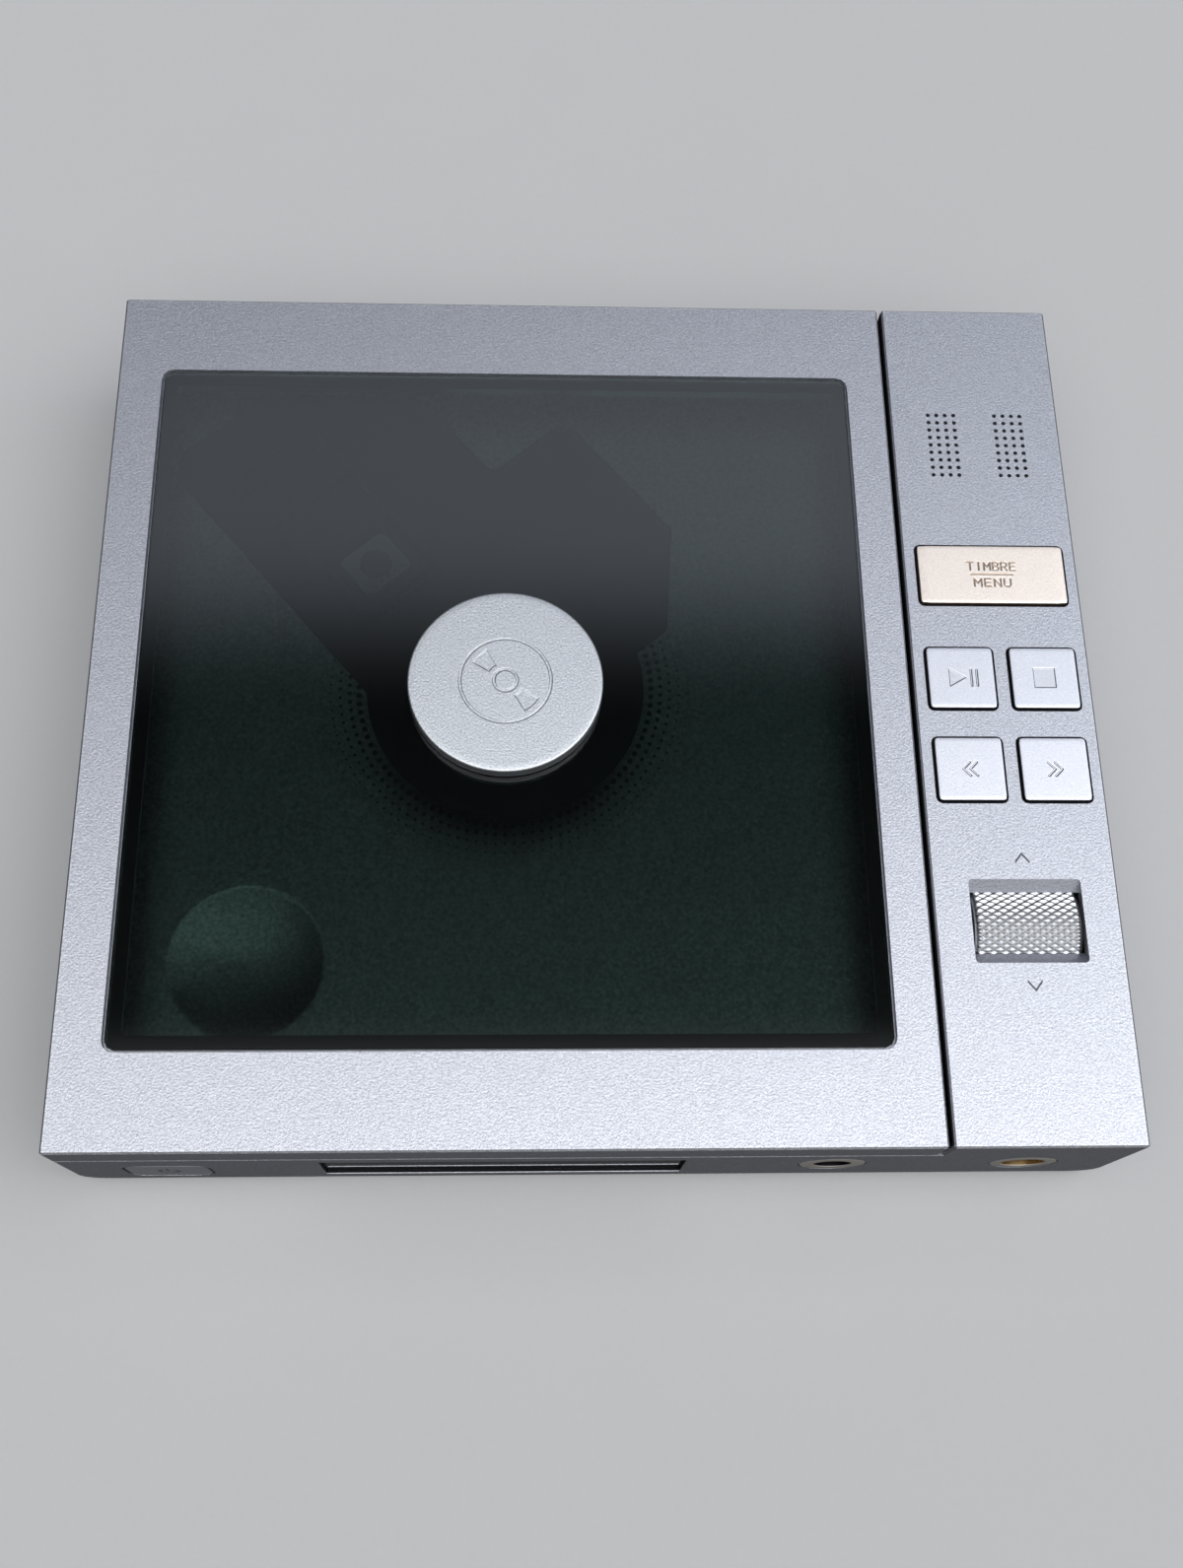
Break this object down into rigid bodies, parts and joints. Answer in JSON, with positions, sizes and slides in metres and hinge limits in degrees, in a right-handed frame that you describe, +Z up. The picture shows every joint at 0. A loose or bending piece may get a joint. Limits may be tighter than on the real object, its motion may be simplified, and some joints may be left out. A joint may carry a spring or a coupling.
{
  "type": "cd player",
  "caption": "Flat top-loading disc player: square smoked-glass lid with a round puck, control column with keys, grille and volume wheel, sockets on the front.",
  "frame": {"origin": "on the floor under the body, midway between its sides and between its front and rear faces", "axes": "+X to the control column's side, +Y to the rear, +Z up"},
  "size_m": [0.165, 0.15, 0.0307],
  "materials": {
    "silver_aluminium": "fine bead-blasted, silver anodised",
    "champagne_aluminium": "champagne anodised satin",
    "knurled_steel": "diamond-knurled bright steel",
    "cover_paint": "satin silver paint",
    "socket_metal": "turned and plated",
    "smoked_glass": "smoked clear glass with a printed border and hub mask",
    "display_glass": "dark glossy pane",
    "lens_glass": "coated clear glass",
    "mechanism_plastic": "fine-grained black",
    "socket_plastic": "moulded black",
    "motor_steel": "dark plated steel",
    "bright_steel": "ground bright steel",
    "magnet_nickel": "nickel plated",
    "rubber": "soft matt black",
    "screen_fabric": "fine black mesh",
    "board": "green solder mask",
    "battery_wrap": "wrapped pouch"
  },
  "bodies": {
    "player_body": {"housing": "silver_aluminium", "bottom_cover": "cover_paint", "foot_front_left": "rubber", "foot_rear_left": "rubber", "foot_front_right": "rubber", "foot_rear_right": "rubber", "deck_plate": "silver_aluminium", "mechanism_cover": "mechanism_plastic", "mechanism_chassis": "mechanism_plastic", "damper_heel": "rubber", "damper_far_left": "rubber", "damper_far_right": "rubber", "guide_rod_left": "bright_steel", "guide_rod_right": "bright_steel", "spindle_motor": "motor_steel", "feed_motor": "motor_steel", "body_magnet": "magnet_nickel", "hinge_block_left": "motor_steel", "hinge_block_right": "motor_steel", "hinge_pin_left": "bright_steel", "hinge_pin_right": "bright_steel", "key_board": "board", "grille_screen": "screen_fabric", "wheel_bracket": "socket_plastic", "wheel_encoder": "socket_plastic", "display_pane": "display_glass", "display_module": "socket_plastic", "power_switch": "socket_plastic", "small_socket_ring": "socket_metal", "large_socket_ring": "socket_metal", "small_socket": "socket_plastic", "large_socket": "socket_plastic", "charging_port": "bright_steel", "line_out_socket": "socket_plastic", "main_board": "board", "battery": "battery_wrap"},
    "lid": {"lid_frame": "silver_aluminium", "lid_glass": "smoked_glass", "puck": "silver_aluminium", "puck_retainer": "mechanism_plastic", "lid_magnet": "magnet_nickel"},
    "clamp": {"clamp_disc": "mechanism_plastic"},
    "spindle": {"spindle_shaft": "bright_steel", "spindle_hub": "mechanism_plastic", "disc_catch_1": "bright_steel", "disc_catch_2": "bright_steel", "disc_catch_3": "bright_steel", "hub_pad": "rubber", "hub_magnet": "magnet_nickel"},
    "sled": {"pickup_sled": "mechanism_plastic"},
    "lens": {"lens_holder": "mechanism_plastic", "objective_lens": "lens_glass"},
    "screw": {"feed_screw": "bright_steel"},
    "wheel": {"volume_wheel": "knurled_steel"},
    "previous_key_body": {"previous_key": "silver_aluminium"},
    "next_key_body": {"next_key": "silver_aluminium"},
    "play_key_body": {"play_key": "silver_aluminium"},
    "stop_key_body": {"stop_key": "silver_aluminium"},
    "menu_key_body": {"menu_key": "champagne_aluminium"},
    "power_key_body": {"power_key": "silver_aluminium"}
  },
  "joints": [
    {"name": "lid_hinge", "type": "hinge", "parent": "player_body", "child": "lid", "pos_m": [-0.01527, 0.0732, 0.0228], "axis": [-1, 0, 0], "range_deg": [0, 80]},
    {"name": "spindle_spin", "type": "hinge", "parent": "player_body", "child": "spindle", "pos_m": [-0.0148, 0.0001, 0.0216], "axis": [0, 0, 1], "continuous": true},
    {"name": "clamp_spin", "type": "hinge", "parent": "lid", "child": "clamp", "pos_m": [-0.0148, 0.0001, 0.0231], "axis": [0, 0, 1], "continuous": true},
    {"name": "sled_slide", "type": "slide", "parent": "player_body", "child": "sled", "axis": [-0.6468, 0.7627, 0], "range_m": [-0.013, 0.0228]},
    {"name": "lens_focus", "type": "slide", "parent": "sled", "child": "lens", "axis": [0, 0, 1], "range_m": [-0.0004, 0.0004], "stiffness_N_per_m": 100},
    {"name": "feed_screw_turn", "type": "hinge", "parent": "player_body", "child": "screw", "pos_m": [0.00122, 0.01368, 0.01], "axis": [-0.6468, 0.7627, 0], "range_deg": [-1600, 2800]},
    {"name": "volume_turn", "type": "hinge", "parent": "player_body", "child": "wheel", "pos_m": [0.06763, -0.0397, 0.0195], "axis": [1, 0, 0], "continuous": true},
    {"name": "previous_key_press", "type": "slide", "parent": "player_body", "child": "previous_key_body", "axis": [0, 0, -1], "range_m": [0, 0.00025], "stiffness_N_per_m": 3000},
    {"name": "next_key_press", "type": "slide", "parent": "player_body", "child": "next_key_body", "axis": [0, 0, -1], "range_m": [0, 0.00025], "stiffness_N_per_m": 3000},
    {"name": "play_key_press", "type": "slide", "parent": "player_body", "child": "play_key_body", "axis": [0, 0, -1], "range_m": [0, 0.00025], "stiffness_N_per_m": 3000},
    {"name": "stop_key_press", "type": "slide", "parent": "player_body", "child": "stop_key_body", "axis": [0, 0, -1], "range_m": [0, 0.00025], "stiffness_N_per_m": 3000},
    {"name": "menu_key_press", "type": "slide", "parent": "player_body", "child": "menu_key_body", "axis": [0, 0, -1], "range_m": [0, 0.00025], "stiffness_N_per_m": 3000},
    {"name": "power_key_press", "type": "slide", "parent": "player_body", "child": "power_key_body", "axis": [0, 1, 0], "range_m": [0, 0.00025], "stiffness_N_per_m": 3000}
  ],
  "couplings": [
    {"joint": "clamp_spin", "follows": "spindle_spin", "ratio": 1},
    {"joint": "feed_screw_turn", "follows": "sled_slide", "rad_per_m": 2094.4}
  ]
}
